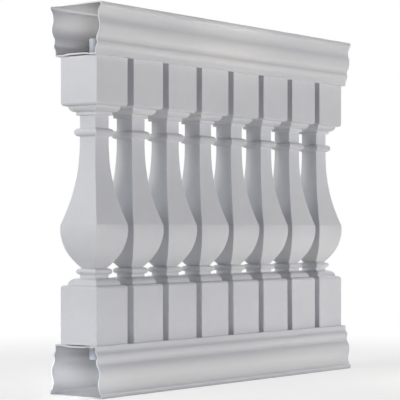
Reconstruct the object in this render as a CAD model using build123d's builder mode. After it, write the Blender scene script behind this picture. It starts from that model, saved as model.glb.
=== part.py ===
from build123d import *
import os

# Straight deck railing section: two hollow moulded rails and eight square vase balusters,
# each on a pipe that pins it to both rails.
# X runs along the rails, Y from front to back, Z up; the origin lies in the middle of the
# bottom rail's underside. All sizes in millimetres.

# Layout of the section: the end balusters stand half a pitch in from the cut ends
section_length = 1219.2
baluster_count = 8
baluster_pitch = section_length / baluster_count
rail_height = 137.0
baluster_height = 766.0

# Baluster blocks and mouldings, half widths out from the middle
block_width = 127.0
lower_block_height = 158.0
upper_block_height = 131.0
block_edge_radius = 9.0
shoulder_half = 50.0
upper_ovolo_half = 34.5
upper_ovolo_height = 15.5
upper_band_height = 8.5
neck_half = 27.5
collar_length = 34.5
upper_ring_radius = 11.0
straight_neck_length = 11.5
lower_ring_half = 34.8
lower_ring_height = 15.5
lower_neck_half = 27.3
lower_neck_length = 9.0
lower_ovolo_half = 33.5
lower_ovolo_height = 18.5

# Vase: a long flare down to a level crease, and a belly under it. Each waypoint is a half
# width and its share of the way down the flare or the belly.
flare_share = 0.6535
flare_waypoints = [(28.3, 0.143), (30.7, 0.313), (36.5, 0.515), (45.6, 0.716), (58.0, 0.917)]
flare_slope_at_crease = 0.34
crease_half = 64.0
belly_waypoints = [(64.7, 0.131), (61.0, 0.384), (56.0, 0.536), (48.4, 0.688), (37.5, 0.84)]
belly_foot_half = 22.8

# Rail moulding, half widths out from the middle. Depths run in from the flat outer wall,
# rises run out from the web that carries the balusters.
wall = 3.5
lip_half = 91.2
lip_corner_radius = 6.0
lip_depth = 10.0
lip_foot_half = 87.4
lip_foot_depth = 15.0
cove_half = 81.4
cove_depth = 35.0
swell_half = 86.7
swell_depth = 63.5
quirk_half = 75.9
quirk_rise = 41.5
bead_half = 78.7
bead_rise = 29.5
web_half = 71.8
web_edge_rise = 11.0
even_blend = 0.5
swell_blend = 0.68
seat_inner_half = 46.0
dish_half = 26.0
dish_depth = 2.6

# Core pipes
core_diameter = 26.7
core_wall = 2.9
core_stub_above = 50.0
core_stub_below = 42.0
core_hole_clearance = 0.3

# Places worked out from the sizes above
block_half = block_width / 2
core_hole_radius = core_diameter / 2 + core_hole_clearance
baluster_bottom = rail_height
baluster_top = rail_height + baluster_height
section_height = 2 * rail_height + baluster_height
first_baluster_x = (baluster_pitch - section_length) / 2
core_spots = GridLocations(baluster_pitch, 0, baluster_count, 1)


def s_curve(start, end, blend):
    """Draw two arcs, both upright at their outer ends, that meet on the chord from start to end."""
    middle = start + (end - start) * blend
    first = TangentArc(start, middle, tangent=(0, end.Y - start.Y))
    TangentArc(middle, end, tangent=first % 1)


def rail_profile_side(side):
    """Draw one side of the moulding, from the flat outer wall to the web; side is 1 or -1."""
    flat_end = Vector(side * (lip_half - lip_corner_radius), 0)
    nose_top = Vector(side * lip_half, lip_corner_radius)
    nose_foot = Vector(side * lip_half, lip_depth)
    lip_foot = Vector(side * lip_foot_half, lip_foot_depth)
    cove = Vector(side * cove_half, cove_depth)
    swell = Vector(side * swell_half, swell_depth)
    quirk = Vector(side * quirk_half, rail_height - quirk_rise)
    bead = Vector(side * bead_half, rail_height - bead_rise)
    web_edge = Vector(side * web_half, rail_height - web_edge_rise)
    web_corner = Vector(side * web_half, rail_height)
    seat_inner = Vector(side * seat_inner_half, rail_height)
    dish_edge = Vector(side * dish_half, rail_height - dish_depth)
    Line((0, 0), flat_end)
    TangentArc(flat_end, nose_top, tangent=(side, 0))
    Line(nose_top, nose_foot)
    TangentArc(nose_foot, lip_foot, tangent=(0, 1))
    TangentArc(cove, lip_foot, tangent=(0, -1))
    s_curve(cove, swell, even_blend)
    s_curve(swell, quirk, swell_blend)
    s_curve(quirk, bead, even_blend)
    s_curve(bead, web_edge, even_blend)
    Line(web_edge, web_corner)
    Line(web_corner, seat_inner)
    Line(seat_inner, dish_edge)
    Line(dish_edge, (0, rail_height - dish_depth))


# Bottom rail: hollow moulding with its flat wall down and its web up, holed for the pipes
with BuildPart() as bottom_rail:
    with BuildSketch(Plane.YZ.offset(-section_length / 2)):
        with BuildLine():
            rail_profile_side(1)
            rail_profile_side(-1)
        make_face()
        offset(amount=-wall, kind=Kind.ARC, mode=Mode.SUBTRACT)
    extrude(amount=section_length)
    with BuildSketch(Plane.XY.offset(rail_height / 2)):
        with core_spots:
            Circle(core_hole_radius)
    extrude(amount=rail_height / 2, mode=Mode.SUBTRACT)

# Top rail: the same moulding turned over
top_rail_plane = Plane((-section_length / 2, 0, section_height), x_dir=(0, -1, 0), z_dir=(1, 0, 0))

with BuildPart() as top_rail:
    with BuildSketch(top_rail_plane):
        with BuildLine():
            rail_profile_side(1)
            rail_profile_side(-1)
        make_face()
        offset(amount=-wall, kind=Kind.ARC, mode=Mode.SUBTRACT)
    extrude(amount=section_length)
    with BuildSketch(Plane.XY.offset(baluster_top)):
        with core_spots:
            Circle(core_hole_radius)
    extrude(amount=rail_height / 2, mode=Mode.SUBTRACT)

# Levels of a baluster, worked out from the blocks inwards
block_foot = baluster_top - upper_block_height
band_top = block_foot - upper_ovolo_height
neck_top = band_top - upper_band_height
ring_top = neck_top - collar_length
ring_foot = ring_top - 2 * upper_ring_radius
flare_top = ring_foot - straight_neck_length
lower_block_top = baluster_bottom + lower_block_height
lower_ovolo_top = lower_block_top + lower_ovolo_height
lower_ring_foot = lower_ovolo_top + lower_neck_length
belly_foot = lower_ring_foot + lower_ring_height
crease = flare_top - (flare_top - belly_foot) * flare_share


def stepped_line(side, points):
    """Draw straight lines through points of half width and height, on one side of the middle."""
    Polyline([(side * half_width, height) for half_width, height in points])


def vase_curve(side, top, foot, waypoints, **ends):
    """Draw a smooth curve from top to foot, both points of half width and height, through the waypoints."""
    drop = foot[1] - top[1]
    inner = [(side * half_width, top[1] + drop * share) for half_width, share in waypoints]
    Spline((side * top[0], top[1]), *inner, (side * foot[0], foot[1]), **ends)


def baluster_profile_side(side):
    """Draw one side of the baluster's outline, from the top to the foot; side is 1 or -1."""
    edge_half = block_half - block_edge_radius
    upper_edge_level = block_foot + block_edge_radius
    lower_edge_level = lower_block_top - block_edge_radius
    stepped_line(side, [(0, baluster_top), (block_half, baluster_top), (block_half, upper_edge_level)])
    TangentArc(
        (side * block_half, upper_edge_level),
        (side * edge_half, block_foot),
        tangent=(0, -1),
    )
    stepped_line(side, [(edge_half, block_foot), (shoulder_half, block_foot)])
    TangentArc((side * shoulder_half, block_foot), (side * upper_ovolo_half, band_top), tangent=(0, -1))
    stepped_line(side, [(upper_ovolo_half, band_top), (upper_ovolo_half, neck_top), (neck_half, neck_top)])
    stepped_line(side, [(neck_half, neck_top), (neck_half, ring_top)])
    ThreePointArc(
        (side * neck_half, ring_top),
        (side * (neck_half + upper_ring_radius), ring_top - upper_ring_radius),
        (side * neck_half, ring_foot),
    )
    stepped_line(side, [(neck_half, ring_foot), (neck_half, flare_top)])
    vase_curve(
        side,
        (neck_half, flare_top),
        (crease_half, crease),
        flare_waypoints,
        tangents=[(0, -1), (side * flare_slope_at_crease, -1)],
    )
    vase_curve(side, (crease_half, crease), (belly_foot_half, belly_foot), belly_waypoints)
    ThreePointArc(
        (side * belly_foot_half, belly_foot),
        (side * lower_ring_half, belly_foot - lower_ring_height / 2),
        (side * lower_neck_half, lower_ring_foot),
    )
    stepped_line(side, [(lower_neck_half, lower_ring_foot), (lower_neck_half, lower_ovolo_top)])
    stepped_line(side, [(lower_neck_half, lower_ovolo_top), (lower_ovolo_half, lower_ovolo_top)])
    TangentArc(
        (side * shoulder_half, lower_block_top),
        (side * lower_ovolo_half, lower_ovolo_top),
        tangent=(0, 1),
    )
    stepped_line(side, [(shoulder_half, lower_block_top), (edge_half, lower_block_top)])
    TangentArc(
        (side * block_half, lower_edge_level),
        (side * edge_half, lower_block_top),
        tangent=(0, 1),
    )
    stepped_line(side, [(block_half, lower_edge_level), (block_half, baluster_bottom), (0, baluster_bottom)])


# One baluster body in the middle of the section: every level of it is a square, because the
# same outline is cut from the front and from the side
with BuildPart() as body_form:
    with BuildSketch(Plane.XZ):
        with BuildLine():
            baluster_profile_side(1)
            baluster_profile_side(-1)
        make_face()
    extrude(amount=block_width, both=True)
    with BuildSketch(Plane.YZ):
        with BuildLine():
            baluster_profile_side(1)
            baluster_profile_side(-1)
        make_face()
    extrude(amount=block_width, both=True, mode=Mode.INTERSECT)
    with BuildSketch(Plane.XY.offset(baluster_bottom)):
        Circle(core_diameter / 2)
    extrude(amount=baluster_height, mode=Mode.SUBTRACT)

# One core pipe in the middle of the section, standing out at both ends of the baluster
with BuildPart() as core_form:
    with BuildSketch(Plane.XY.offset(baluster_bottom - core_stub_below)):
        Circle(core_diameter / 2)
        Circle(core_diameter / 2 - core_wall, mode=Mode.SUBTRACT)
    extrude(amount=core_stub_below + baluster_height + core_stub_above)

os.makedirs("parts", exist_ok=True)

top_rail.part.label = "top_rail"
export_step(top_rail.part, "parts/top_rail.step")

bottom_rail.part.label = "bottom_rail"
export_step(bottom_rail.part, "parts/bottom_rail.step")

for index in range(baluster_count):
    baluster_x = first_baluster_x + index * baluster_pitch

    with BuildPart() as baluster:
        with Locations((baluster_x, 0, 0)):
            add(body_form.part)
    baluster.part.label = f"baluster_{index + 1}"
    export_step(baluster.part, f"parts/baluster_{index + 1}.step")

    with BuildPart() as core_pipe:
        with Locations((baluster_x, 0, 0)):
            add(core_form.part)
    core_pipe.part.label = f"core_pipe_{index + 1}"
    export_step(core_pipe.part, f"parts/core_pipe_{index + 1}.step")
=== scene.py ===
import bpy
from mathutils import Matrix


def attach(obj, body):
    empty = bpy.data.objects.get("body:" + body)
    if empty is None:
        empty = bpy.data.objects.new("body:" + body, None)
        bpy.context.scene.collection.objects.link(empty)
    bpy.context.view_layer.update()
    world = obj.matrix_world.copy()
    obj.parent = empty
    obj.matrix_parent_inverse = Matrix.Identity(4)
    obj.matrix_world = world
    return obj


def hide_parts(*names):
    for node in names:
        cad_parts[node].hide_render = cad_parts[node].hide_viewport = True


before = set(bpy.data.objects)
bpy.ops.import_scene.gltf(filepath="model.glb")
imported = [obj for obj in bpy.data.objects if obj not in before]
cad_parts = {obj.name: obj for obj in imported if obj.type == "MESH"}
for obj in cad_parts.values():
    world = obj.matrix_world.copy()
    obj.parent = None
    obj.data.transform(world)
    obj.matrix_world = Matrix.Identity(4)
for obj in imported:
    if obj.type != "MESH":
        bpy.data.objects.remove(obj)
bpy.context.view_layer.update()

import logging
import math
from dataclasses import dataclass
from enum import Enum

import bmesh
import bpy
import numpy as np
from mathutils import Vector

# A straight deck railing section: two hollow moulded rails and eight square vase balusters, each
# on a core pipe that pins it to both rails. X runs along the rails, Y from front to back, Z up.
# Classes hold sizes in millimetres, and meshes are in metres.

MM = 0.001
BODY = "root"
LOG = logging.getLogger("deck_railing")
WHITE = (1.0, 1.0, 1.0, 1.0)

# A point in a plane, a direction or the two ends of a range
Pair = tuple[float, float]
# Directions at both ends of a curve
Slopes = tuple[Pair | None, Pair | None]

# Outlines and grids

# Most that an arc turns between two of its points, in degrees
ARC_STEP = 9.0
# Least turn that counts as a corner, in degrees
CORNER_TURN = 14.0
# Most of an edge that the rounding of one of its corners takes
CORNER_SHARE = 0.42
# Points on a rounded corner
CORNER_POINTS = 5
# Distance from a corner to the point that keeps the flat beside it flat, in millimetres
SUPPORT_REACH = 1.6
# How many times that distance an edge measures before it gets such points
LONG_EDGE = 4
# Points closer together than this are merged, in metres
MERGE_DISTANCE = 0.002 * MM
# Shortest length that a vector is divided by
SHORTEST = 1e-12


class Ease(Enum):
    """How far a corner of an outline is cut back on each side before it is rounded, in millimetres."""

    CRISP = 0.35
    MOULDED = 0.6


def unit(vector: np.ndarray) -> np.ndarray:
    """Scale vectors along the last axis to length one."""
    return vector / np.maximum(np.linalg.norm(vector, axis=-1, keepdims=True), SHORTEST)


def spokes(angle: np.ndarray) -> np.ndarray:
    """Give the point at distance one in the direction of each angle, in radians."""
    return np.stack([np.cos(angle), np.sin(angle)], axis=-1)


def arc_from(start: np.ndarray, heading: np.ndarray, end: np.ndarray, step_degrees: float) -> np.ndarray:
    """Work out the arc that leaves start along heading and reaches end.

    The chord makes half the arc's turn with the heading, so each point at a share t of the turn
    lies at a distance of chord * sin(t * half) / sin(half) from start, turned t * half from the
    heading.

    Args:
        start: First point, of two numbers.
        heading: Direction of travel at the first point.
        end: Last point.
        step_degrees: Most that the arc turns between two points.

    Returns:
        The points after start, up to and with end.
    """
    chord = end - start
    ahead = unit(heading)
    half = math.atan2(ahead[0] * chord[1] - ahead[1] * chord[0], float(ahead @ chord))
    count = max(2, math.ceil(abs(math.degrees(2 * half)) / step_degrees))
    turn = np.linspace(0, 1, count + 1)[1:] * half
    reach = np.linalg.norm(chord) * np.sin(turn) / math.sin(half)
    along = np.cos(turn)[:, None] * ahead + np.sin(turn)[:, None] * np.array([-ahead[1], ahead[0]])
    return start + reach[:, None] * along


def spline_through(points: np.ndarray, count: int, slopes: Slopes) -> np.ndarray:
    """Work out a smooth curve through points, with no jump in its bend.

    Each coordinate is a cubic in the distance along the chords. The slopes at the points solve
    the three-term equations that make the second derivatives meet. An end has the slope that is
    given, or no bend where none is.

    Args:
        points: The points that the curve goes through, in order.
        count: How many points to give, evenly along the curve.
        slopes: Direction of travel at the first point and at the last, or None.

    Returns:
        The points after the first, up to and with the last.
    """
    gaps = np.linalg.norm(np.diff(points, axis=0), axis=1)
    knots = np.concatenate([[0.0], np.cumsum(gaps)])
    rises = np.diff(points, axis=0) / gaps[:, None]
    size = len(points)
    matrix = np.zeros((size, size))
    target = np.zeros((size, 2))
    inner = np.arange(1, size - 1)
    matrix[inner, inner - 1] = gaps[1:]
    matrix[inner, inner] = 2 * (gaps[:-1] + gaps[1:])
    matrix[inner, inner + 1] = gaps[:-1]
    target[inner] = 3 * (gaps[1:, None] * rises[:-1] + gaps[:-1, None] * rises[1:])
    for row, beside, slope in ((0, 1, slopes[0]), (-1, -2, slopes[1])):
        given = slope is not None
        matrix[row, row] = 1.0 if given else 2.0
        matrix[row, beside] = 0.0 if given else 1.0
        target[row] = unit(np.array(slope, float)) if given else 3 * rises[row]
    slopes = np.linalg.solve(matrix, target)
    place = np.linspace(0, knots[-1], count + 1)[1:]
    cell = np.clip(np.searchsorted(knots, place, side="right") - 1, 0, size - 2)
    gap = gaps[cell][:, None]
    t = (place - knots[cell])[:, None] / gap
    return (
        (1 + 2 * t) * (1 - t) ** 2 * points[cell]
        + t * (1 - t) ** 2 * gap * slopes[cell]
        + t**2 * (3 - 2 * t) * points[cell + 1]
        + t**2 * (t - 1) * gap * slopes[cell + 1]
    )


class Outline:
    """A chain of straight and curved stretches in a plane, in millimetres."""

    def __init__(self, x: float, y: float) -> None:
        """Start the chain at a point."""
        self.points = np.array([[x, y]], float)
        self.straight = np.zeros(0, bool)

    def _extend(self, more: np.ndarray, straight: bool) -> "Outline":
        """Add points to the chain.

        Args:
            more: The points to add.
            straight: Whether the edges that they make belong to a straight stretch.

        Returns:
            The outline itself.
        """
        self.points = np.vstack([self.points, more])
        self.straight = np.concatenate([self.straight, np.full(len(more), straight)])
        return self

    def line(self, *corners: Pair) -> "Outline":
        """Go straight to each corner in turn."""
        return self._extend(np.array(corners, float), True)

    def arc(self, end: Pair, heading: Pair, step: float = ARC_STEP) -> "Outline":
        """Go to end on the arc that leaves along heading."""
        bend = arc_from(self.points[-1], np.array(heading, float), np.array(end, float), step)
        return self._extend(bend, False)

    def arc_into(self, end: Pair, heading: Pair, step: float = ARC_STEP) -> "Outline":
        """Go to end on the arc that arrives there along heading."""
        back = arc_from(np.array(end, float), -np.array(heading, float), self.points[-1], step)
        return self._extend(np.vstack([back[-2::-1], end]), False)

    def arc_over(self, middle: Pair, end: Pair) -> "Outline":
        """Go to end on the arc through middle.

        The angle between an arc's tangent at its start and the chord to middle equals the angle
        between the chord from middle to end and the chord from start to end, so the heading is
        the chord to middle turned back by that angle.

        Args:
            middle: Point that the arc goes through.
            end: Last point.

        Returns:
            The outline itself.
        """
        start = self.points[-1]
        chords = np.array([middle - start, end - start, np.subtract(end, middle)])
        to_middle, to_end, middle_end = np.arctan2(chords[:, 1], chords[:, 0])
        lean = to_middle - (middle_end - to_end)
        return self.arc(end, (math.cos(lean), math.sin(lean)))

    def s_curve(self, end: Pair, blend: float) -> "Outline":
        """Go to end on two arcs, upright at both outer ends, that meet on the chord.

        Args:
            end: Last point.
            blend: Share of the chord at which the arcs meet.

        Returns:
            The outline itself.
        """
        start = self.points[-1]
        middle = start + (end - start) * blend
        upright = (0.0, float(np.sign(end[1] - start[1])))
        self.arc((middle[0], middle[1]), upright)
        return self.arc_into(end, upright)

    def spline(self, waypoints: list[Pair], count: int, slopes: Slopes = (None, None)) -> "Outline":
        """Go through the waypoints on one smooth curve of count points."""
        points = np.vstack([self.points[-1:], waypoints])
        return self._extend(spline_through(points, count, slopes), False)

    def mirrored(self) -> "Outline":
        """Close the chain with its own mirror image across the plane's second axis.

        Returns:
            The outline itself.
        """
        flip = self.points[-2:0:-1] * (-1, 1)
        self.points = np.vstack([self.points, flip])
        self.straight = np.concatenate([self.straight, self.straight[::-1]])
        return self

    def closed(self) -> "Outline":
        """Close the chain with a straight edge from its last point to its first."""
        self.straight = np.append(self.straight, True)
        return self

    def thinned(self, depth: float) -> np.ndarray:
        """Move a closed chain inwards by depth, with mitred corners.

        Each point moves along the sum of the normals of its two edges, divided by one plus the
        cosine between them, so both edges stay parallel to where they were.

        Args:
            depth: Distance to move, positive towards the inside of a counter-clockwise chain.

        Returns:
            The moved points, one for each point of the chain.
        """
        ahead = unit(np.roll(self.points, -1, axis=0) - self.points)
        normal = np.stack([-ahead[:, 1], ahead[:, 0]], axis=1)
        before = np.roll(normal, 1, axis=0)
        cosine = np.sum(normal * before, axis=1, keepdims=True)
        return self.points + depth * (normal + before) / (1 + cosine)

    def eased(
        self, ease: Ease, points: np.ndarray | None = None, reach: float = SUPPORT_REACH
    ) -> np.ndarray:
        """Round the corners of a closed chain and put support points beside them.

        A corner becomes a quadratic curve between two points set back along its edges. A long
        straight edge gets a point near each end, so smooth shading stays flat between them. All
        candidates stand in one array, and a mask from this chain's own corners and edges picks
        them, so another chain of as many points gets the same pattern.

        Args:
            ease: How far the corners are set back.
            points: Points to work on in place of the chain's own.
            reach: Distance of a support point from its corner.

        Returns:
            The closed line's points.
        """
        own_edge = np.roll(self.points, -1, axis=0) - self.points
        own_ahead = unit(own_edge)
        cosine = np.sum(own_ahead * np.roll(own_ahead, 1, axis=0), axis=1)
        corner = cosine < math.cos(math.radians(CORNER_TURN))
        long_edge = self.straight & (np.linalg.norm(own_edge, axis=1) > LONG_EDGE * reach)
        line = self.points if points is None else points
        after = np.roll(line, -1, axis=0)
        length = np.linalg.norm(after - line, axis=1)
        ahead = unit(after - line)
        room = CORNER_SHARE * np.minimum(length, np.roll(length, 1))
        back = np.minimum(np.where(corner, ease.value, 0.0), room)
        set_in = line - np.roll(ahead, 1, axis=0) * back[:, None]
        set_out = line + ahead * back[:, None]
        shares = np.linspace(0, 1, CORNER_POINTS)[None, :, None]
        bends = (1 - shares) ** 2 * set_in[:, None] + 2 * shares * (1 - shares) * line[:, None]
        bends = bends + shares**2 * set_out[:, None]
        near = line + ahead * (reach + back)[:, None]
        far = after - ahead * (reach + np.roll(back, -1))[:, None]
        candidates = np.concatenate([bends, near[:, None], far[:, None]], axis=1)
        keep = np.zeros(candidates.shape[:2], bool)
        keep[:, CORNER_POINTS // 2] = True
        keep[:, :CORNER_POINTS] |= corner[:, None]
        keep[:, CORNER_POINTS:] |= long_edge[:, None]
        return candidates[keep]


def grid_faces(rows: int, columns: int, first: int, closed_rows: bool) -> np.ndarray:
    """List the four corners of each face of a grid that closes round its columns.

    Args:
        rows: How many rows of points there are.
        columns: How many points a row has.
        first: Number of the grid's first point in the mesh.
        closed_rows: Whether the last row joins the first.

    Returns:
        Point numbers, shaped (row, column, 4).
    """
    row = np.arange(rows if closed_rows else rows - 1)[:, None]
    column = np.arange(columns)[None, :]
    next_row, next_column = (row + 1) % rows, (column + 1) % columns
    corners = [row * columns + column, row * columns + next_column]
    corners += [next_row * columns + next_column, next_row * columns + column]
    return np.stack(corners, axis=-1) + first


def add_object(name: str, data: bpy.types.ID) -> bpy.types.Object:
    """Put an object in the scene, at the origin.

    Args:
        name: Name of the object.
        data: Its mesh, lamp or camera.

    Returns:
        The object.
    """
    item = bpy.data.objects.new(name, data)
    bpy.context.collection.objects.link(item)
    return item


def closed_piece(
    name: str,
    grid: np.ndarray,
    keep: np.ndarray | None = None,
    bands: tuple[np.ndarray, ...] = (),
) -> bpy.types.Object:
    """Make one closed, smooth-shaded object from a grid that closes both ways.

    Args:
        name: Name of the object.
        grid: Points in metres, shaped (row, column, 3).
        keep: Which of the grid's faces stand, shaped (row, column), or None for all.
        bands: Rings of points, shaped (ring, point, 3), whose faces fill what keep leaves open.

    Returns:
        The object, at the origin, with its faces outwards.
    """
    rows, columns = grid.shape[:2]
    faces = grid_faces(rows, columns, 0, True)
    face_sets = [faces.reshape(-1, 4) if keep is None else faces[keep]]
    point_sets = [grid.reshape(-1, 3)]
    first = rows * columns
    for band in bands:
        high, wide = band.shape[:2]
        face_sets.append(grid_faces(high, wide, first, False).reshape(-1, 4))
        point_sets.append(band.reshape(-1, 3))
        first += high * wide
    mesh = bpy.data.meshes.new(name)
    mesh.from_pydata(np.vstack(point_sets).tolist(), [], np.vstack(face_sets).tolist())
    work = bmesh.new()
    work.from_mesh(mesh)
    bmesh.ops.remove_doubles(work, verts=work.verts, dist=MERGE_DISTANCE)
    loose = [point for point in work.verts if not point.link_faces]
    bmesh.ops.delete(work, geom=loose, context="VERTS")
    bmesh.ops.recalc_face_normals(work, faces=work.faces)
    work.to_mesh(mesh)
    work.free()
    mesh.polygons.foreach_set("use_smooth", np.ones(len(mesh.polygons), bool))
    mesh.update()
    return add_object(name, mesh)


def hand_over(piece: bpy.types.Object, node: str, material: bpy.types.Material) -> None:
    """Let a finished piece stand for its CAD node.

    Args:
        piece: The finished object.
        node: Name of the CAD node that it replaces.
        material: What it is dressed in.
    """
    piece.data.materials.append(material)
    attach(piece, BODY)
    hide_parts(node)
    LOG.info("%s: %d points, dressed in %s", piece.name, len(piece.data.vertices), material.name)


# Finishes

# Sockets of a Mix node in its colour mode, which are told apart by number
MIX_FACTOR, MIX_FIRST, MIX_SECOND, MIX_RESULT = 0, 6, 7, 2


def linear(colour: str) -> tuple[float, float, float, float]:
    """Turn an sRGB colour into the linear one that a socket takes, by the sRGB standard's curve.

    Args:
        colour: The sRGB colour in hex, such as #D9DADC.

    Returns:
        Linear red, green and blue, and an alpha of one.
    """
    srgb = np.array([int(colour[place : place + 2], 16) for place in (1, 3, 5)]) / 255
    red, green, blue = np.where(srgb <= 0.04045, srgb / 12.92, ((srgb + 0.055) / 1.055) ** 2.4).tolist()
    return (red, green, blue, 1.0)


def empty_tree(owner: bpy.types.Material | bpy.types.World) -> bpy.types.NodeTree:
    """Turn on the nodes of a material or the world and clear them.

    Args:
        owner: The material or the world.

    Returns:
        Its node tree, with nothing in it.
    """
    owner.use_nodes = True
    owner.node_tree.nodes.clear()
    return owner.node_tree


def add_node(
    tree: bpy.types.NodeTree,
    kind: str,
    values: dict[str | int, object] | None = None,
    links: dict[str | int, bpy.types.NodeSocket] | None = None,
    **settings: object,
) -> bpy.types.Node:
    """Add a node with its settings and links.

    Args:
        tree: Node tree that takes it.
        kind: Blender's name of the node type.
        values: Input socket to the value set on it.
        links: Input socket to the output socket that feeds it.
        settings: Properties of the node itself.

    Returns:
        The new node.
    """
    node = tree.nodes.new(kind)
    for name, setting in settings.items():
        setattr(node, name, setting)
    for socket, value in (values or {}).items():
        node.inputs[socket].default_value = value
    for socket, source in (links or {}).items():
        tree.links.new(source, node.inputs[socket])
    return node


def set_ramp(node: bpy.types.Node, places: Pair, colours: tuple[str, str]) -> None:
    """Set both stops of a colour ramp.

    Args:
        node: The ramp.
        places: Where the stops stand, in order.
        colours: Their sRGB hex colours.
    """
    for element, place, colour in zip(node.color_ramp.elements, places, colours):
        element.position = place
        element.color = linear(colour)


class Grain(Enum):
    """Which way a plastic's patterns run: how many times as fast they change along X, Y and Z."""

    ORANGE_PEEL = (1.0, 1.0, 1.0)
    DIE_LINES_ALONG_X = (0.012, 1.0, 1.0)
    DIE_LINES_ALONG_Z = (1.0, 1.0, 0.02)


@dataclass(frozen=True)
class WhitePlastic:
    """A white plastic finish: cloudy colour, even gloss and a fine relief.

    The cloud pattern is a few centimetres wide, as pigment settles in the melt. The relief is
    what the mould or the die leaves. The ranges say which part of a noise, whose values gather
    round a half, is spread over the change from one colour or gloss to the other.
    """

    name: str
    body: str
    cloud: str
    cloud_mm: float
    roughness: float
    grain: Grain
    grain_mm: float
    relief_mm: float
    speck: str
    speck_mm: float = 2.6
    cloud_range: Pair = (0.32, 0.68)
    gloss_range: Pair = (0.3, 0.7)
    roughness_swing: float = 0.05
    speck_range: Pair = (0.52, 0.78)
    speck_most: float = 0.3
    ior: float = 1.53

    def material(self) -> bpy.types.Material:
        """Build the finish as a node material.

        Returns:
            The material, with its patterns on Object coordinates.
        """
        material = bpy.data.materials.new(self.name)
        tree = empty_tree(material)
        place = add_node(tree, "ShaderNodeTexCoord").outputs["Object"]
        stretch = {"Scale": self.grain.value}
        along = add_node(tree, "ShaderNodeMapping", stretch, {"Vector": place}).outputs["Vector"]
        pattern = {"Scale": 1 / (self.cloud_mm * MM), "Detail": 3.0, "Roughness": 0.55}
        clouds = add_node(tree, "ShaderNodeTexNoise", pattern, {"Vector": along}).outputs["Fac"]
        pattern = {"Scale": 1 / (self.speck_mm * MM), "Detail": 2.0, "Roughness": 0.6}
        specks = add_node(tree, "ShaderNodeTexNoise", pattern, {"Vector": place}).outputs["Fac"]
        tone = add_node(tree, "ShaderNodeValToRGB", links={"Fac": clouds})
        set_ramp(tone, self.cloud_range, (self.cloud, self.body))
        low, high = self.speck_range
        spread = {"From Min": low, "From Max": high, "To Min": 0.0, "To Max": self.speck_most}
        speck_share = add_node(tree, "ShaderNodeMapRange", spread, {"Value": specks})
        links = {MIX_FACTOR: speck_share.outputs["Result"], MIX_FIRST: tone.outputs["Color"]}
        speck_tone = {MIX_SECOND: linear(self.speck)}
        colour = add_node(tree, "ShaderNodeMix", speck_tone, links, data_type="RGBA")
        low, high = self.gloss_range
        least, most = self.roughness - self.roughness_swing, self.roughness + self.roughness_swing
        spread = {"From Min": low, "From Max": high, "To Min": least, "To Max": most}
        gloss = add_node(tree, "ShaderNodeMapRange", spread, {"Value": clouds})
        pattern = {"Scale": 1 / (self.grain_mm * MM), "Detail": 2.0, "Roughness": 0.5}
        relief = add_node(tree, "ShaderNodeTexNoise", pattern, {"Vector": along}).outputs["Fac"]
        depth = {"Strength": 1.0, "Distance": self.relief_mm * MM}
        bump = add_node(tree, "ShaderNodeBump", depth, {"Height": relief})
        shader = add_node(
            tree,
            "ShaderNodeBsdfPrincipled",
            {"IOR": self.ior},
            {
                "Base Color": colour.outputs[MIX_RESULT],
                "Roughness": gloss.outputs["Result"],
                "Normal": bump.outputs["Normal"],
            },
        )
        add_node(tree, "ShaderNodeOutputMaterial", links={"Surface": shader.outputs["BSDF"]})
        return material


# Moulded PVC: an even satin white whose skin has a soft orange peel from the mould. A real peel
# is about 1.5 mm wide; it is drawn at 3.5 mm so that it shows at this distance.
BALUSTER_FINISH = WhitePlastic(
    name="moulded_white_pvc",
    body="#DDDDDE",
    cloud="#DADADC",
    cloud_mm=55.0,
    roughness=0.46,
    grain=Grain.ORANGE_PEEL,
    grain_mm=3.5,
    relief_mm=0.012,
    speck="#D3D4D7",
)

# Extruded rigid PVC: the same white, pulled through a die, which leaves faint lines along the
# rail that catch the light on its rounds. Real lines are under 1 mm apart; they are drawn
# 2.4 mm apart so that they show.
RAIL_FINISH = WhitePlastic(
    name="extruded_white_pvc",
    body="#DDDDDE",
    cloud="#DADADC",
    cloud_mm=24.0,
    roughness=0.43,
    grain=Grain.DIE_LINES_ALONG_X,
    grain_mm=2.4,
    relief_mm=0.01,
    speck="#D4D5D8",
)

# Extruded PVC pipe: duller and a little greyer than the parts that show, with draw lines along
# its length. Its greys are partly the pipe's own and partly painted shade: darker than its own
# colour, as it looks deep in the rails' hollows.
PIPE_FINISH_AND_SHADE = WhitePlastic(
    name="extruded_pvc_pipe_and_painted_shade",
    # Painted shade: these greys are darker than the pipe's own, as the pipe looks inside the hollows
    body="#AEB2BA",
    cloud="#A8ACB4",
    cloud_mm=18.0,
    roughness=0.5,
    roughness_swing=0.06,
    grain=Grain.DIE_LINES_ALONG_Z,
    grain_mm=1.8,
    relief_mm=0.02,
    speck="#A2A5AE",
    speck_mm=2.0,
)


# The railing section


@dataclass
class SectionLayout:
    """Where the pieces of the section stand, in millimetres."""

    length: float = 1219.2
    baluster_count: int = 8
    rail_height: float = 137.0
    baluster_height: float = 766.0

    def spots(self) -> np.ndarray:
        """Give each baluster's place along the rails: a pitch apart, the end ones half a pitch in."""
        pitch = self.length / self.baluster_count
        return (np.arange(self.baluster_count) + 0.5) * pitch - self.length / 2

    def total_height(self) -> float:
        """Give the height over both rails."""
        return 2 * self.rail_height + self.baluster_height


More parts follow.
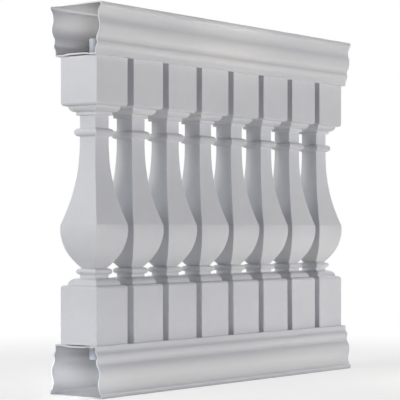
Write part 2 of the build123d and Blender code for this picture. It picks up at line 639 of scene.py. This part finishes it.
@dataclass
class VaseBaluster:
    """A moulded baluster, square at every level, with a bore for its core pipe. Sizes in millimetres."""

    layout: SectionLayout
    block_half: float = 63.5
    lower_block_height: float = 158.0
    upper_block_height: float = 131.0
    block_round: float = 9.0
    shoulder_half: float = 50.0
    upper_ovolo_half: float = 34.5
    upper_ovolo_height: float = 15.5
    upper_band_height: float = 8.5
    neck_half: float = 27.5
    collar_length: float = 34.5
    upper_ring_round: float = 11.0
    straight_neck_length: float = 11.5
    lower_ring_half: float = 34.8
    lower_ring_height: float = 15.5
    lower_neck_half: float = 27.3
    lower_neck_length: float = 9.0
    lower_ovolo_half: float = 33.5
    lower_ovolo_height: float = 18.5
    flare_share: float = 0.6535
    crease_half: float = 64.0
    crease_slope: float = 0.34
    belly_foot_half: float = 22.8
    bore_radius: float = 13.35
    arris: float = 1.1
    arris_points: int = 7
    flare_points: int = 44
    belly_points: int = 34

    # Waypoints of the vase's flare and belly: a half width and its share of the way down
    flare: tuple[Pair, ...] = (
        (28.3, 0.143), (30.7, 0.313), (36.5, 0.515), (45.6, 0.716), (58.0, 0.917),
    )
    belly: tuple[Pair, ...] = (
        (64.7, 0.131), (61.0, 0.384), (56.0, 0.536), (48.4, 0.688), (37.5, 0.84),
    )

    def outline(self) -> np.ndarray:
        """Trace half of the baluster's section: out along its top, down its mouldings, in along
        its foot and up its bore.

        Returns:
            Eased points of half width and height, the line closed.
        """
        foot = self.layout.rail_height
        top = foot + self.layout.baluster_height
        block_foot = top - self.upper_block_height
        band_top = block_foot - self.upper_ovolo_height
        neck_top = band_top - self.upper_band_height
        ring_top = neck_top - self.collar_length
        ring_foot = ring_top - 2 * self.upper_ring_round
        flare_top = ring_foot - self.straight_neck_length
        block_top = foot + self.lower_block_height
        ovolo_top = block_top + self.lower_ovolo_height
        lower_ring_foot = ovolo_top + self.lower_neck_length
        belly_foot = lower_ring_foot + self.lower_ring_height
        crease = flare_top - (flare_top - belly_foot) * self.flare_share
        edge_half = self.block_half - self.block_round
        flare = [(half, flare_top + (crease - flare_top) * share) for half, share in self.flare]
        belly = [(half, crease + (belly_foot - crease) * share) for half, share in self.belly]

        line = Outline(self.bore_radius, top)
        line.line((self.block_half, top), (self.block_half, block_foot + self.block_round))
        line.arc((edge_half, block_foot), (0, -1)).line((self.shoulder_half, block_foot))
        line.arc((self.upper_ovolo_half, band_top), (0, -1)).line((self.upper_ovolo_half, neck_top))
        line.line((self.neck_half, neck_top), (self.neck_half, ring_top))
        line.arc((self.neck_half, ring_foot), (1, 0)).line((self.neck_half, flare_top))
        flare.append((self.crease_half, crease))
        line.spline(flare, self.flare_points, ((0, -1), (self.crease_slope, -1)))
        belly.append((self.belly_foot_half, belly_foot))
        line.spline(belly, self.belly_points)
        ring_crown = (self.lower_ring_half, belly_foot - self.lower_ring_height / 2)
        line.arc_over(ring_crown, (self.lower_neck_half, lower_ring_foot))
        line.line((self.lower_neck_half, ovolo_top), (self.lower_ovolo_half, ovolo_top))
        line.arc_into((self.shoulder_half, block_top), (0, -1)).line((edge_half, block_top))
        line.arc_into((self.block_half, block_top - self.block_round), (0, -1))
        line.line((self.block_half, foot), (self.bore_radius, foot))
        return line.closed().eased(Ease.MOULDED)

    def rings(self, half: np.ndarray) -> np.ndarray:
        """Lay a square with rounded arrises round the axis for each half width.

        A quarter has five points across its flat side and more round its arris, whose centre is
        in from both sides by its radius. A half width that is the bore's is a circle of as many
        points instead.

        Args:
            half: Half widths, one for each level.

        Returns:
            Points shaped (level, point, 2).
        """
        flat = half - self.arris
        held = flat - SUPPORT_REACH
        across = np.stack([-held, -flat / 2, 0 * flat, flat / 2, held], axis=1)
        side = np.stack([np.broadcast_to(half[:, None], across.shape), across], axis=-1)
        bend = self.arris * spokes(np.radians(np.linspace(0, 90, self.arris_points)))
        corner = flat[:, None, None] + bend[None]
        quarter = np.concatenate([side, corner], axis=1)
        quarters = [quarter, quarter[..., ::-1] * (-1, 1), -quarter, quarter[..., ::-1] * (1, -1)]
        square = np.concatenate(quarters, axis=1)
        count, middle = square.shape[1], across.shape[1] // 2
        circle = self.bore_radius * spokes(np.radians((np.arange(count) - middle) * 360 / count))
        bored = np.abs(half - self.bore_radius) < self.arris
        circles = circle[None] * (half / self.bore_radius)[:, None, None]
        return np.where(bored[:, None, None], circles, square)

    def build(self, number: int, x: float, material: bpy.types.Material) -> None:
        """Build one baluster and let it stand for its node.

        Args:
            number: Its place in the row, from 1.
            x: Its place along the rails, in millimetres.
            material: Its finish.
        """
        line = self.outline()
        rings = self.rings(line[:, 0])
        level = np.broadcast_to(line[:, 1, None, None], (*rings.shape[:2], 1))
        grid = np.concatenate([rings + (x, 0.0), level], axis=-1) * MM
        piece = closed_piece(f"vase_baluster_{number}", grid)
        hand_over(piece, f"baluster_{number}", material)


class RailPlace(Enum):
    """Which rail of the section it is, by its CAD node. The top rail is the bottom one turned over."""

    BOTTOM = "bottom_rail"
    TOP = "top_rail"


@dataclass
class MouldedRail:
    """A hollow moulded rail with eight holes in its web for the core pipes. Sizes in millimetres."""

    layout: SectionLayout
    wall: float = 3.5
    lip_half: float = 91.2
    lip_round: float = 6.0
    lip_depth: float = 10.0
    lip_foot: Pair = (87.4, 15.0)
    cove: Pair = (81.4, 35.0)
    swell: Pair = (86.7, 63.5)
    swell_blend: float = 0.68
    even_blend: float = 0.5
    quirk_half: float = 75.9
    quirk_rise: float = 41.5
    bead_half: float = 78.7
    bead_rise: float = 29.5
    web_half: float = 71.8
    web_edge_rise: float = 11.0
    seat_inner_half: float = 46.0
    dish_half: float = 26.0
    dish_depth: float = 2.6
    hole_radius: float = 13.65
    hole_rows: int = 9
    cut_ease: float = 0.4
    ease_turns: tuple[float, ...] = (30.0, 60.0, 90.0)
    slack: float = 0.01

    # Rings of the plate round a hole: each one's distance out from the hole's wall and its share
    # of the way through the web
    plate_rings: tuple[Pair, ...] = (
        (1.6, 0.0), (0.3, 0.0), (0.0, 0.09), (0.0, 0.91), (0.3, 1.0), (1.6, 1.0),
    )

    def outline(self) -> Outline:
        """Trace the rail's outer line, from the middle of its flat wall round to it again.

        Returns:
            The closed outline, the flat wall at height 0 and the web on top.
        """
        height = self.layout.rail_height
        line = Outline(0, 0)
        line.line((self.lip_half - self.lip_round, 0)).arc((self.lip_half, self.lip_round), (1, 0))
        line.line((self.lip_half, self.lip_depth)).arc(self.lip_foot, (0, 1), step=12)
        line.arc_into(self.cove, (0, 1), step=5).s_curve(self.swell, self.even_blend)
        line.s_curve((self.quirk_half, height - self.quirk_rise), self.swell_blend)
        line.s_curve((self.bead_half, height - self.bead_rise), self.even_blend)
        line.s_curve((self.web_half, height - self.web_edge_rise), self.even_blend)
        line.line((self.web_half, height), (self.seat_inner_half, height))
        line.line((self.dish_half, height - self.dish_depth), (0, height - self.dish_depth))
        return line.mirrored()

    def stations(self) -> tuple[np.ndarray, np.ndarray, int]:
        """List the grid's rows: along the outside, round one cut end, back along the inside and
        round the other.

        Each hole is crossed by the same count of rows, evenly apart. Each edge of a cut end is
        eased by a quarter circle: the depth into the wall is the ease times one minus the cosine
        of a turn, and the distance in from the end is the ease times one minus its sine.

        Returns:
            Each row's place along the rail, its share of the way through the wall, and how many
            rows the outside has.
        """
        end = self.layout.length / 2
        across = self.dish_half * np.linspace(-1, 1, self.hole_rows)
        holes = (self.layout.spots()[:, None] + across[None]).ravel()
        eased_end = end - self.cut_ease
        near_end = eased_end - SUPPORT_REACH
        run = np.concatenate([[-eased_end, -near_end], holes, [near_end, eased_end]])
        turn = np.radians(self.ease_turns)
        x_out = end - self.cut_ease * (1 - np.sin(turn))
        share_out = self.cut_ease * (1 - np.cos(turn)) / self.wall
        x_cap = np.concatenate([x_out, [end], x_out[::-1]])
        share_cap = np.concatenate([share_out, [0.5], 1 - share_out[::-1]])
        x = np.concatenate([run, x_cap, run[::-1], -x_cap])
        share = np.concatenate([0 * run, share_cap, 0 * run + 1, share_cap[::-1]])
        return x, share, len(run)

    def hole_plate(self, x: float, square_out: np.ndarray, square_in: np.ndarray) -> np.ndarray:
        """Fill the square left open in the web with a plate that has a round hole.

        Rings go from the outer square in to the circle, through the web, and out to the inner
        square. A circle point lies at its square point's angle round the hole.

        Args:
            x: The hole's place along the rail, in metres.
            square_out: Points round the opening on the outside.
            square_in: The same points on the inside.

        Returns:
            The plate's rings, shaped (ring, point, 3).
        """
        offset = square_out[:, :2] - (x, 0.0)
        spoke = spokes(np.arctan2(offset[:, 1], offset[:, 0]))
        rings = [square_out]
        for clear, share in self.plate_rings:
            ring = square_out + (square_in - square_out) * share
            ring[:, :2] = spoke * (self.hole_radius + clear) * MM + (x, 0.0)
            rings.append(ring)
        return np.stack([*rings, square_in])

    def holed_web(
        self, grid: np.ndarray, outer: np.ndarray, run_rows: int
    ) -> tuple[np.ndarray, tuple[np.ndarray, ...]]:
        """Open a square in both faces of the web at each hole, and plate it round the hole.

        The points round an opening go along its first column, across its last row, back along
        its last column and across its first row. The inside's rows run the other way, so a row
        of the outside and the row behind it have numbers that add up to the same sum.

        Args:
            grid: The rail's points in metres, shaped (row, column, 3).
            outer: Points of the outside's line in millimetres, one for each column.
            run_rows: How many rows the outside has.

        Returns:
            Which of the grid's faces stand, and the plates.
        """
        level = self.layout.rail_height - self.dish_depth - self.slack
        over_hole = np.abs(outer[:, 0]) < self.dish_half + self.slack
        dish = np.flatnonzero((outer[:, 1] > level) & over_hole)
        columns = np.arange(dish.min(), dish.max() + 1)
        low, high = columns[0], columns[-1]
        across = columns[1:-1]
        keep = np.ones(grid.shape[:2], bool)
        row_sum = len(grid) // 2 + run_rows - 1
        first = (run_rows - self.hole_rows * self.layout.baluster_count) // 2
        plates = []
        for index, spot in enumerate(self.layout.spots()):
            start = first + self.hole_rows * index
            stop = start + self.hole_rows - 1
            rows = np.arange(start, stop + 1)
            round_rows = [rows, np.full(len(across), stop), rows[::-1], np.full(len(across), start)]
            round_columns = [np.full(len(rows), low), across, np.full(len(rows), high), across[::-1]]
            out_rows = np.concatenate(round_rows)
            in_rows = row_sum - out_rows
            ring_columns = np.concatenate(round_columns)
            keep[start:stop, low:high] = False
            keep[row_sum - stop : row_sum - start, low:high] = False
            square_out, square_in = grid[out_rows, ring_columns], grid[in_rows, ring_columns]
            plates.append(self.hole_plate(spot * MM, square_out, square_in))
        return keep, tuple(plates)

    def build(self, place: RailPlace, material: bpy.types.Material) -> None:
        """Build one rail and let it stand for its node.

        The outside's line and the inside's are carried along X, and a row in a cut end lies at
        its share of the way between them.

        Args:
            place: Which rail it is.
            material: Its finish.
        """
        outline = self.outline()
        outer = outline.eased(Ease.MOULDED)
        inner = outline.eased(Ease.CRISP, outline.thinned(self.wall))
        x, share, run_rows = self.stations()
        section = outer[None] + (inner - outer)[None] * share[:, None, None]
        if place is RailPlace.TOP:
            section = section * (1, -1) + (0.0, self.layout.total_height())
        along = np.broadcast_to(x[:, None, None], (*section.shape[:2], 1))
        grid = np.concatenate([along, section], axis=-1) * MM
        keep, plates = self.holed_web(grid, outer, run_rows)
        piece = closed_piece(f"moulded_{place.value}", grid, keep, plates)
        hand_over(piece, place.value, material)


@dataclass
class CorePipe:
    """A plain pipe that pins a baluster to both rails. Sizes in millimetres."""

    layout: SectionLayout
    radius: float = 13.35
    wall: float = 2.9
    stub_above: float = 50.0
    stub_below: float = 42.0
    sides: int = 48
    support_reach: float = 0.7

    def build(self, number: int, x: float, material: bpy.types.Material) -> None:
        """Build one pipe and let it stand for its node.

        The section of the wall, a rectangle with eased corners, is turned round the pipe's axis:
        x and y are its radius times the cosine and sine of the angle.

        Args:
            number: Its place in the row, from 1.
            x: Its place along the rails, in millimetres.
            material: Its finish.
        """
        low = self.layout.rail_height - self.stub_below
        high = self.layout.rail_height + self.layout.baluster_height + self.stub_above
        inner = self.radius - self.wall
        line = Outline(inner, low).line((self.radius, low), (self.radius, high), (inner, high)).closed()
        wall = line.eased(Ease.CRISP, reach=self.support_reach)
        circle = spokes(np.linspace(0, 2 * math.pi, self.sides, endpoint=False))
        plan = wall[:, 0, None, None] * circle[None] + (x, 0.0)
        level = np.broadcast_to(wall[:, 1, None, None], (*plan.shape[:2], 1))
        piece = closed_piece(f"pvc_core_pipe_{number}", np.concatenate([plan, level], axis=-1) * MM)
        hand_over(piece, f"core_pipe_{number}", material)


# Studio


@dataclass(frozen=True)
class SoftBox:
    """A rectangular studio lamp: where its light comes from, its power and tint, and what it faces.

    The azimuth turns from +X towards +Y, so 180 degrees is the section's left end and 270 its
    front. The power is in watts, and places and sizes are in metres. The spread is how widely
    the light fans out, 180 degrees with no grid in front of the lamp. A lamp faces the middle of
    the section unless it is given another target.
    """

    name: str
    azimuth: float
    elevation: float
    power: float
    tint: str = "#FFFFFF"
    target: tuple[float, float, float] = (0.0, 0.0, 0.52)
    distance: float = 5.2
    size: Pair = (1.9, 1.7)
    spread: float = 180.0

    def place(self) -> Vector:
        """Work out where the lamp hangs: its distance away from its target, along its direction.

        Returns:
            The place of its middle.
        """
        turn, rise = math.radians(self.azimuth), math.radians(self.elevation)
        outwards = (math.cos(rise) * math.cos(turn), math.cos(rise) * math.sin(turn), math.sin(rise))
        return Vector(self.target) + self.distance * Vector(outwards)

    def hang(self) -> None:
        """Put the lamp in the scene, out of the camera's sight."""
        data = bpy.data.lights.new(self.name, "AREA")
        data.shape = "RECTANGLE"
        data.size, data.size_y = self.size
        data.spread = math.radians(self.spread)
        data.energy = self.power
        data.color = linear(self.tint)[:3]
        lamp = add_object(self.name, data)
        lamp.location = self.place()
        aim = Vector(self.target) - self.place()
        lamp.rotation_euler = aim.to_track_quat("-Z", "Y").to_euler()
        lamp.visible_camera = False


@dataclass
class Studio:
    """Plain pale floor, soft lamps, white surroundings and the camera. Sizes in metres.

    The camera sees the floor's paint mixed with the white of the surroundings. Its least share of
    white holds up to the near distance from the section's middle, and it is all white from the far
    distance on.
    """

    boxes: tuple[SoftBox, ...]
    ambient: str = "#E6E6FF"
    ambient_strength: float = 0.005
    floor_half: float = 16.0
    floor_colours: tuple[str, str] = ("#F4F3F1", "#F7F6F5")
    mottle_range: Pair = (0.3, 0.7)
    mottle_mm: float = 1000 / 9
    near: float = 0.9
    far: float = 2.4
    least_white: float = 0.72
    camera_place: tuple[float, float, float] = (-3.8611, -2.8871, 0.4402)
    camera_pitch: float = 90.0
    camera_heading: float = -52.737
    lens: float = 147.86
    sensor: float = 36.0
    shift_y: float = 0.0765
    clip: Pair = (0.05, 100.0)

    def surroundings(self) -> None:
        """Light the world softly. The camera, reflections and transmission see it as white."""
        world = bpy.data.worlds.new("white_surroundings")
        bpy.context.scene.world = world
        tree = empty_tree(world)
        path = add_node(tree, "ShaderNodeLightPath")
        seen = path.outputs["Is Camera Ray"]
        for ray in ("Is Glossy Ray", "Is Transmission Ray"):
            links = {0: seen, 1: path.outputs[ray]}
            seen = add_node(tree, "ShaderNodeMath", links=links, operation="MAXIMUM").outputs["Value"]
        light = {"Color": linear(self.ambient), "Strength": self.ambient_strength}
        ambient = add_node(tree, "ShaderNodeBackground", light)
        white = add_node(tree, "ShaderNodeBackground", {"Color": WHITE, "Strength": 1.0})
        links = {0: seen, 1: ambient.outputs["Background"], 2: white.outputs["Background"]}
        mix = add_node(tree, "ShaderNodeMixShader", links=links)
        add_node(tree, "ShaderNodeOutputWorld", links={"Surface": mix.outputs["Shader"]})

    def floor_material(self) -> bpy.types.Material:
        """Build the floor's paint: matt white that keeps the section's shadow and fades to white.

        Returns:
            The material.
        """
        material = bpy.data.materials.new("matt_white_floor_paint")
        tree = empty_tree(material)
        path = add_node(tree, "ShaderNodeLightPath")
        place = add_node(tree, "ShaderNodeTexCoord").outputs["Object"]
        away = add_node(tree, "ShaderNodeVectorMath", links={0: place}, operation="LENGTH")
        fade = add_node(
            tree,
            "ShaderNodeMapRange",
            {"From Min": self.near, "From Max": self.far, "To Min": self.least_white, "To Max": 1.0},
            {"Value": away.outputs["Value"]},
            interpolation_type="SMOOTHSTEP",
        )
        links = {0: path.outputs["Is Camera Ray"], 1: fade.outputs["Result"]}
        seen = add_node(tree, "ShaderNodeMath", links=links, operation="MULTIPLY")
        pattern = {"Scale": 1 / (self.mottle_mm * MM), "Detail": 3.0}
        mottle = add_node(tree, "ShaderNodeTexNoise", pattern, {"Vector": place})
        tone = add_node(tree, "ShaderNodeValToRGB", links={"Fac": mottle.outputs["Fac"]})
        set_ramp(tone, self.mottle_range, self.floor_colours)
        matt = {"Roughness": 1.0}
        paint = add_node(tree, "ShaderNodeBsdfDiffuse", matt, {"Color": tone.outputs["Color"]})
        white = add_node(tree, "ShaderNodeEmission", {"Color": WHITE, "Strength": 1.0})
        links = {0: seen.outputs["Value"], 1: paint.outputs["BSDF"], 2: white.outputs["Emission"]}
        mix = add_node(tree, "ShaderNodeMixShader", links=links)
        add_node(tree, "ShaderNodeOutputMaterial", links={"Surface": mix.outputs["Shader"]})
        return material

    def floor(self) -> None:
        """Lay the floor that the section stands on."""
        reach = self.floor_half
        corners = [(-reach, -reach, 0), (reach, -reach, 0), (reach, reach, 0), (-reach, reach, 0)]
        mesh = bpy.data.meshes.new("studio_floor")
        mesh.from_pydata(corners, [], [(0, 1, 2, 3)])
        floor = add_object("studio_floor", mesh)
        mesh.materials.append(self.floor_material())

    def camera(self) -> None:
        """Stand the camera level, at the photograph's place and angle."""
        data = bpy.data.cameras.new("camera")
        data.sensor_width = self.sensor
        data.lens = self.lens
        data.shift_y = self.shift_y
        data.dof.use_dof = False
        data.clip_start, data.clip_end = self.clip
        camera = add_object("camera", data)
        camera.location = self.camera_place
        pitch, heading = math.radians(self.camera_pitch), math.radians(self.camera_heading)
        camera.rotation_euler = (pitch, 0.0, heading)
        bpy.context.scene.camera = camera

    def set_up(self) -> None:
        """Put up the whole studio."""
        self.surroundings()
        self.floor()
        for box in self.boxes:
            box.hang()
        self.camera()
        bpy.context.scene.view_settings.view_transform = "Standard"
        LOG.info("studio: %d soft boxes", len(self.boxes))


# The section's left cut end, in metres
LEFT_END = -0.6096

# Each lamp starts with its name, azimuth, elevation, power and tint
SOFT_BOXES = (
    # Large lamps round the section, which set the tones of its faces
    SoftBox("left_key", 170, 18, 60.9, "#FFF9E6"),
    SoftBox("left_low", 180, -2.4, 27.5, "#E6F1FF", size=(1.9, 0.5)),
    SoftBox("left_upper", 176, 8, 3.57, "#E5E5FF", target=(0.0, 0.0, 1.15), spread=50.0),
    SoftBox("back_left_high", 140, 46, 58.9, "#E9F3FF"),
    SoftBox("front_low", 290, -2.4, 86.5, "#FCFCFF", size=(1.9, 0.5)),
    SoftBox("front_left_low", 230, -2.4, 34.5, "#EBEEFF", size=(1.9, 0.5)),
    SoftBox("back_right_fill", 60, 22, 60.0),
    SoftBox("right_fill", 12, 22, 50.0),
    # Narrow beams on the last baluster and on the floor before it
    SoftBox(
        "right_end_fill", 318, -2, 0.09, "#F0F0FF",
        target=(0.59, -0.06, 0.5), distance=2.5, size=(0.4, 0.8), spread=18.0,
    ),
    SoftBox(
        "floor_wash", 0, 90, 1.3, "#FFFEE8",
        target=(0.7, -0.7, 0.0), distance=1.3, size=(1.0, 0.5), spread=35.0,
    ),
    # Strips that light undersides from below, as a pale ground would
    SoftBox(
        "belly_glow", 275, -22, 0.06, "#FFF4E6",
        target=(-0.05, -0.06, 0.39), distance=0.95, size=(1.4, 0.1), spread=14.0,
    ),
    SoftBox(
        "floor_strip", 0, -90, 0.155, "#FFFCE8",
        target=(0.0, -0.14, 1.005), distance=1.0, size=(1.3, 0.07),
    ),
    SoftBox(
        "top_rail_glow_left", 276, -50, 0.085, "#FFF8E5",
        target=(-0.3, -0.08, 1.01), distance=1.2, size=(0.9, 0.1), spread=16.0,
    ),
    SoftBox(
        "top_rail_glow_right", 276, -50, 0.075, "#FFF6E5",
        target=(0.3, -0.08, 1.01), distance=1.2, size=(0.9, 0.1), spread=16.0,
    ),
    SoftBox(
        "upper_glow_left", 275, -58, 0.038, "#FFEED6",
        target=(-0.38, -0.06, 0.8), distance=0.8, size=(0.6, 0.12), spread=25.0,
    ),
    SoftBox(
        "upper_glow_right", 275, -58, 0.01, "#FFEED6",
        target=(0.35, -0.06, 0.8), distance=0.8, size=(0.7, 0.12), spread=25.0,
    ),
    # A beam along the gaps between the lower blocks, and a wash on the flat top
    SoftBox(
        "low_row_fill", 210, -2, 0.058, "#F4F6FF",
        target=(0.0, -0.05, 0.215), distance=2.5, size=(0.9, 0.12), spread=5.0,
    ),
    SoftBox(
        "top_wash", 0, 90, 0.34,
        target=(0.0, 0.0, 1.04), distance=0.4, size=(1.26, 0.24), spread=60.0,
    ),
    # Weak beams into the rails' open left ends
    SoftBox(
        "top_hollow_fill", 198, -17, 0.034, "#FFFDF8",
        target=(LEFT_END, 0.035, 0.985), distance=1.3, size=(0.1, 0.1), spread=5.0,
    ),
    SoftBox(
        "top_hollow_deep", 196, -12, 0.018, "#FFFCFA",
        target=(LEFT_END, 0.015, 0.985), distance=1.3, size=(0.13, 0.1), spread=8.0,
    ),
    SoftBox(
        "bottom_hollow_fill", 224, 10, 0.01, "#FBFDFC",
        target=(LEFT_END, 0.065, 0.07), distance=1.3, size=(0.08, 0.08), spread=5.0,
    ),
    SoftBox(
        "bottom_hollow_deep", 196, 10, 0.057, "#F8FCFF",
        target=(LEFT_END, 0.01, 0.05), distance=1.3, size=(0.13, 0.06), spread=6.0,
    ),
    SoftBox(
        "bottom_hollow_level", 190, 2, 0.014, "#FCFDFC",
        target=(LEFT_END, 0.02, 0.075), distance=1.3, size=(0.13, 0.05), spread=5.0,
    ),
)


def main() -> None:
    """Build the section piece by piece, then the studio."""
    logging.basicConfig(level=logging.INFO, format="%(name)s %(message)s")
    layout = SectionLayout()
    rail = MouldedRail(layout)
    rail_material = RAIL_FINISH.material()
    for place in RailPlace:
        rail.build(place, rail_material)
    baluster, pipe = VaseBaluster(layout), CorePipe(layout)
    baluster_material, pipe_material = BALUSTER_FINISH.material(), PIPE_FINISH_AND_SHADE.material()
    for number, spot in enumerate(layout.spots(), start=1):
        baluster.build(number, spot, baluster_material)
        pipe.build(number, spot, pipe_material)
    Studio(SOFT_BOXES).set_up()


if __name__ == "__main__":
    main()
